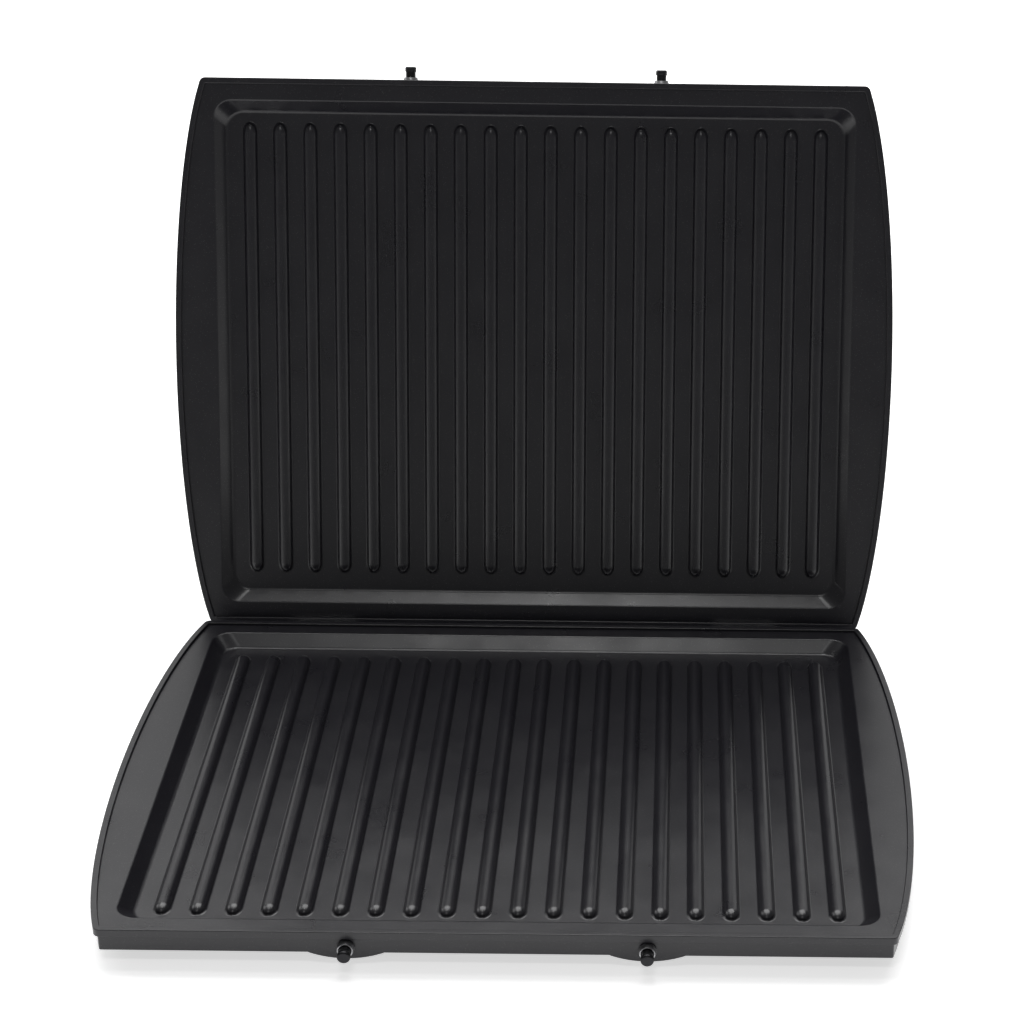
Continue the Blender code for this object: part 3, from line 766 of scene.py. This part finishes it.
metal = wornMetal()
coating = coatingMaterial(sprayedCoating())
blackOxide = metalMaterial("black oxide steel", metal, (0.035, 0.035, 0.037), (0.02, 0.02, 0.022), 0.38, 0.8)
bareAluminium = metalMaterial("bare aluminium", metal, (0.45, 0.45, 0.46), (0.33, 0.33, 0.34), 0.42, 1.0)
sheath = metalMaterial("heater sheath", metal, (0.19, 0.17, 0.15), (0.1, 0.095, 0.1), 0.42, 0.9)
ceramic = metalMaterial("ceramic", metal, (0.74, 0.7, 0.62), (0.66, 0.61, 0.53), 0.55, 0.0)
plated = metalMaterial("plated steel", metal, (0.56, 0.56, 0.56), (0.42, 0.42, 0.43), 0.3, 1.0)

handOut(casting, "plate", coating)
handOut(heaterTube(heater["radius"]), "heater_element", sheath)
print("plates placed")


def latchPin():
    radius, head = latch["radius"], latch["radius"] + latch["headRim"]
    tip = plate["tierStep"] + latch["reach"] - latch["tipAllowance"]
    shoulder, rounding = tip - latch["headLength"], latch["headRounding"]
    profile = [(radius, -latch["rootDepth"]), (radius, shoulder), (head - 0.08 * mm, shoulder + 0.12 * mm),
               (head, shoulder + 0.3 * mm)]
    for step in range(6):
        turn = math.radians(18 * step)
        profile.append((head - rounding * (1 - math.cos(turn)), tip - rounding * (1 - math.sin(turn))))
    return turnTo(turned(profile, 48), (0, -1, 0), (0, latchFront, -latch["drop"]))


def latchCollar():
    bore = latch["radius"] + latch["clearance"]
    neck = bore + latch["collarWall"]
    foot = neck + latch["collarFlare"]
    reach = plate["tierStep"] + latch["collarReach"]
    profile = ((foot, latch["clearance"]), (foot, reach * 0.45), (foot - 0.06 * mm, reach * 0.52),
               (neck + 0.08 * mm, reach * 0.9), (neck, reach))
    collar = turned(profile, 48)
    combine(collar, addRod(bore, -past, reach + past), "DIFFERENCE")
    return turnTo(collar, (0, -1, 0), (0, latchFront, -latch["drop"]))


handOut(latchPin(), "latch_pin", blackOxide, latch["spacing"])
handOut(latchCollar(), "latch_collar", bareAluminium, latch["spacing"])

terminal = {
    "gap": 0.3 * mm,
    "sealRadius": 3.1 * mm,
    "sealLength": 6.0 * mm,
    "stemRadius": 1.1 * mm,
    "bladeLength": 6.5 * mm,
    "bladeWidth": 6.3 * mm,
    "bladeThickness": 0.8 * mm,
    "bladeCorner": 1.2 * mm,
    "bladeHole": 0.8 * mm,
}


def heaterSeal():
    radius, length, gap = terminal["sealRadius"], terminal["sealLength"], terminal["gap"]
    profile = ((radius * 0.9, gap), (radius * 0.97, gap + 0.25 * mm), (radius, gap + length * 0.15),
               (radius, gap + length * 0.7), (radius * 0.95, gap + length * 0.8),
               (radius * 0.75, gap + length))
    seal = turned(profile, 40)
    combine(seal, addRod(terminal["stemRadius"] + gap, -past, gap + length + past), "DIFFERENCE")
    return turnTo(seal, (0, 1, 0), (0, heater["endY"], heaterZ))


def heaterTerminal():
    start = heater["endY"] + 2 * terminal["gap"] + terminal["sealLength"]
    end = start + terminal["bladeLength"]
    half, thick = terminal["bladeWidth"] / 2, terminal["bladeThickness"] / 2
    stem = addRod(terminal["stemRadius"], terminal["gap"], start + overlap - heater["endY"], sides=32)
    turnTo(stem, (0, 1, 0), (0, heater["endY"], heaterZ))
    blade = addBox((-half, start, heaterZ - thick), (half, end, heaterZ + thick))
    startEdit(blade, "EDGE")
    roundEdges(lambda e: upright(e) and middle(e).y > start + 1 * mm, terminal["bladeCorner"], 2)
    endEdit()
    hole = addRod(terminal["bladeHole"], heaterZ - thick - past, heaterZ + thick + past,
                  0, start + 0.6 * terminal["bladeLength"])
    combine(blade, hole, "DIFFERENCE")
    combine(stem, blade, "UNION")
    return stem


handOut(heaterSeal(), "heater_seal", ceramic, 2 * heater["endX"])
handOut(heaterTerminal(), "heater_terminal", plated, 2 * heater["endX"])
print("pins and heater ends placed")


def leafFoot(rear):
    half = hinge["leafWidth"] / 2
    foot = addBox((-half, halfDepth - hinge["leafFront"], leafBottom), (half, rear, leafTop))
    startEdit(foot, "EDGE")
    roundEdges(lambda e: upright(e) and middle(e).y < halfDepth - 5 * mm, hinge["leafCorner"], 6)
    roundEdges(lambda e: flatAt(e, leafBottom), hinge["leafSoftening"], 2)
    endEdit()
    return foot


def knuckle(centre, z):
    rod = addRod(hinge["knuckleRadius"], -hinge["knuckleLength"] / 2, hinge["knuckleLength"] / 2, sides=64)
    startEdit(rod, "EDGE")
    roundEdges(lambda e: bentBy(e, 60), hinge["knuckleSoftening"], 3)
    endEdit()
    return turnTo(rod, (1, 0, 0), (centre, axisY, z))


def cutLeaf(leaf, z):
    bore = addRod(hinge["pinRadius"] + screw["clearance"], -hinge["leafWidth"], hinge["leafWidth"], sides=48)
    combine(leaf, turnTo(bore, (1, 0, 0), (0, axisY, z)), "DIFFERENCE")
    for side in (-1, 1):
        hole = addRod(screw["shankRadius"] + screw["clearance"], leafBottom - past, leafTop + past,
                      side * hinge["screwSpacing"] / 2, screwY, 32)
        combine(leaf, hole, "DIFFERENCE")
    return leaf


def stopEdge():
    # Where the opened lid's arm comes down to the clearance above the fixed leaf.
    half = hinge["armThickness"] / 2
    drop = -axisDrop - leafTop - screw["clearance"]
    run = (drop - half * math.sin(hinge["angle"])) / -math.cos(hinge["angle"])
    return axisY + half * math.cos(hinge["angle"]) + run * math.sin(hinge["angle"])


def fixedLeaf():
    half = hinge["knuckleLength"] / 2
    cheekReach = hinge["knuckleRadius"] - hinge["cheekInset"]
    cheekFront = axisY - cheekReach
    leaf = leafFoot(cheekFront + overlap)
    combine(leaf, addBox((-half, cheekFront, leafBottom), (half, stopEdge(), leafTop)), "UNION")
    for side in (-1, 1):
        centre = side * (hinge["knuckleLength"] + screw["clearance"])
        low = (centre - half + 0.02 * mm, cheekFront, leafBottom)
        high = (centre + half - 0.02 * mm, axisY + cheekReach, -axisDrop)
        combine(leaf, addBox(low, high), "UNION")
        combine(leaf, knuckle(centre, -axisDrop), "UNION")
    return cutLeaf(leaf, -axisDrop)


def movingLeaf():
    half, arm = hinge["knuckleLength"] / 2, hinge["armThickness"] / 2
    leaf = leafFoot(halfDepth - plate["tierStep"])
    neckFront = halfDepth - hinge["leafFront"] + plate["wall"]
    combine(leaf, addBox((-half, neckFront, leafBottom), (half, axisY + arm, leafTop)), "UNION")
    combine(leaf, addBox((-half, axisY - arm, leafTop - overlap), (half, axisY + arm, upperAxisZ)), "UNION")
    combine(leaf, knuckle(0, upperAxisZ), "UNION")
    return cutLeaf(leaf, upperAxisZ)


def leafScrew():
    under = leafBottom - screw["clearance"]
    head, low = screw["headRadius"], under - screw["headHeight"]
    shank = screw["shankRadius"]
    profile = ((shank, screwBossZ + screw["depth"]), (shank, under), (head, under), (head, under - 0.6 * mm),
               (head * 0.95, low + 0.55 * mm), (head * 0.83, low + 0.2 * mm), (head * 0.6, low + 0.04 * mm),
               (head * 0.4, low))
    piece = turned(profile, 40)
    reach, half = head * 0.55, screw["slotWidth"] / 2
    for across, along in ((reach, half), (half, reach)):
        slot = addBox((-across, -along, low - past), (across, along, low + screw["slotDepth"]))
        combine(piece, slot, "DIFFERENCE")
    return piece


handOut(fixedLeaf(), "hinge_leaf", plated, hinge["spacing"], ("lower",))
handOut(movingLeaf(), "hinge_leaf", plated, hinge["spacing"], ("upper",))
screwMaster = leafScrew()
for level in ("lower", "upper"):
    for label, side in (("left", -1), ("right", 1)):
        for number, offset in ((1, -1), (2, 1)):
            twin = copyOf(screwMaster)
            twin.location = ((side * hinge["spacing"] + offset * hinge["screwSpacing"]) / 2, screwY, 0)
            placeOn(level, settle(twin))
            handOver(twin, f"{level}_leaf_screw_{label}_{number}", bodies[level], plated)
bpy.data.objects.remove(screwMaster, do_unlink=True)

pin = {
    "radius": hinge["pinRadius"],
    "grooveRadius": 1.1 * mm,
    "headRadius": 2.8 * mm,
    "headLength": 1.2 * mm,
    "clipRadius": 2.9 * mm,
    "clipThickness": 0.8 * mm,
    "clipSlot": 1.8 * mm,
    "gap": 0.3 * mm,
}
pinSpan = hinge["knuckleLength"] * 1.5 + pin["gap"]


def hingePin():
    gap, head = pin["gap"], pin["headRadius"]
    shank, waist = pin["radius"], pin["grooveRadius"]
    base, groove = -pinSpan - gap, pinSpan + gap
    end = base - pin["headLength"]
    far = groove + pin["clipThickness"] + 2 * gap
    profile = ((head * 0.72, end), (head * 0.88, end + 0.1 * mm), (head, end + 0.5 * mm), (head, base),
               (shank, base + hair), (shank, groove), (waist, groove + hair), (waist, far),
               (shank, far + hair), (shank, far + 2 * gap), (shank * 0.85, far + 3 * gap))
    return turned(profile, 40)


def pinClip():
    start = pinSpan + 2 * pin["gap"]
    clip = addRod(pin["clipRadius"], start, start + pin["clipThickness"], sides=48)
    combine(clip, addRod(pin["grooveRadius"] + pin["gap"], 0, 2 * start), "DIFFERENCE")
    slot = addBox((0, -pin["clipSlot"] / 2, 0), (2 * pin["clipRadius"], pin["clipSlot"] / 2, 2 * start))
    combine(clip, slot, "DIFFERENCE")
    return clip


for master, node in ((hingePin(), "hinge_pin"), (pinClip(), "hinge_pin_clip")):
    for label, side in (("left", -1), ("right", 1)):
        twin = copyOf(master)
        # The pin's head comes out at the inner end and its clip at the outer one; the clip's slot points down.
        turn = Matrix(((0, 0, -side), (0, side, 0), (-1, 0, 0))).transposed().inverted()
        twin.rotation_euler = turn.to_euler()
        twin.location = (side * hinge["spacing"] / 2, axisY, rimHeight - axisDrop)
        handOver(settle(twin), f"{node}_{label}", "base", plated)
    bpy.data.objects.remove(master, do_unlink=True)
print("hinges placed")

room = {
    "floorSize": 30,
    "focal": 90.6,
    "shift": -0.1796,
    "eye": (0.0587, -0.8550, 0.5213),
    "pitch": math.radians(25.03),
    "yaw": math.radians(0.58),
    "roll": math.radians(0.95),
    "paperGlow": 0.6,
    "worldGlow": 0.17,
    "backgroundGlow": 0.96,
}
bpy.ops.mesh.primitive_plane_add(size=room["floorSize"])
floor = bpy.context.object
floor.name = "floor"
paper = newMaterial("paper", (0.88, 0.88, 0.88), 0.8, 0.0, 0.1)
paperShader = paper.node_tree.nodes["Principled BSDF"]
paperShader.inputs["Emission Color"].default_value = (1, 1, 1, 1)
paperShader.inputs["Emission Strength"].default_value = room["paperGlow"]
floor.data.materials.append(paper)

yaw, pitch, roll = room["yaw"], room["pitch"], room["roll"]
forward = Vector((math.sin(yaw) * math.cos(pitch), math.cos(yaw) * math.cos(pitch), -math.sin(pitch)))
level = Vector((math.cos(yaw), -math.sin(yaw), 0))
above = level.cross(forward)
right = level * math.cos(roll) + above * math.sin(roll)
up = above * math.cos(roll) - level * math.sin(roll)
bpy.ops.object.camera_add(location=room["eye"])
camera = bpy.context.object
camera.rotation_euler = Matrix((right, up, -forward)).transposed().to_euler()
camera.data.lens = room["focal"]
camera.data.shift_x = room["shift"]
camera.data.clip_start = 0.01
bpy.context.scene.camera = camera

lamps = (
    ("ceiling", (0.0, 1.45, 2.2), (0.0, 1.45, 0.0), 2.6, 1.7, 70.0),
    ("key", (-0.05, 0.18, 1.6), (0.0, 0.1, 0.1), 0.25, 0.16, 2.4),
    ("front", (-0.05, -0.95, 1.6), (0.0, 0.1, 0.0), 0.4, 0.12, 3.0),
    ("left", (-1.2, 0.6, 0.8), (0.0, 0.0, 0.05), 0.5, 0.7, 3.0),
    ("backdrop", (0.0, 2.2, 0.9), (0.0, 0.0, 0.1), 3.6, 1.5, 11.0),
)
for name, place, aim, width, height, power in lamps:
    bpy.ops.object.light_add(type="AREA", location=place)
    lamp = bpy.context.object
    lamp.name = name
    lamp.rotation_euler = (Vector(aim) - Vector(place)).to_track_quat("-Z", "Y").to_euler()
    lamp.data.shape = "RECTANGLE"
    lamp.data.size = width
    lamp.data.size_y = height
    lamp.data.energy = power

world = bpy.data.worlds.new("studio")
world.use_nodes = True
background = world.node_tree.nodes["Background"]
background.inputs["Color"].default_value = (1, 1, 1, 1)
# Bright behind the object, dim all round it, so that the black coating keeps its depth.
sight = world.node_tree.nodes.new("ShaderNodeLightPath")
glow = world.node_tree.nodes.new("ShaderNodeMapRange")
glow.inputs["To Min"].default_value = room["worldGlow"]
glow.inputs["To Max"].default_value = room["backgroundGlow"]
world.node_tree.links.new(sight.outputs["Is Camera Ray"], glow.inputs["Value"])
world.node_tree.links.new(glow.outputs["Result"], background.inputs["Strength"])
bpy.context.scene.world = world
bpy.context.scene.view_settings.view_transform = "Standard"
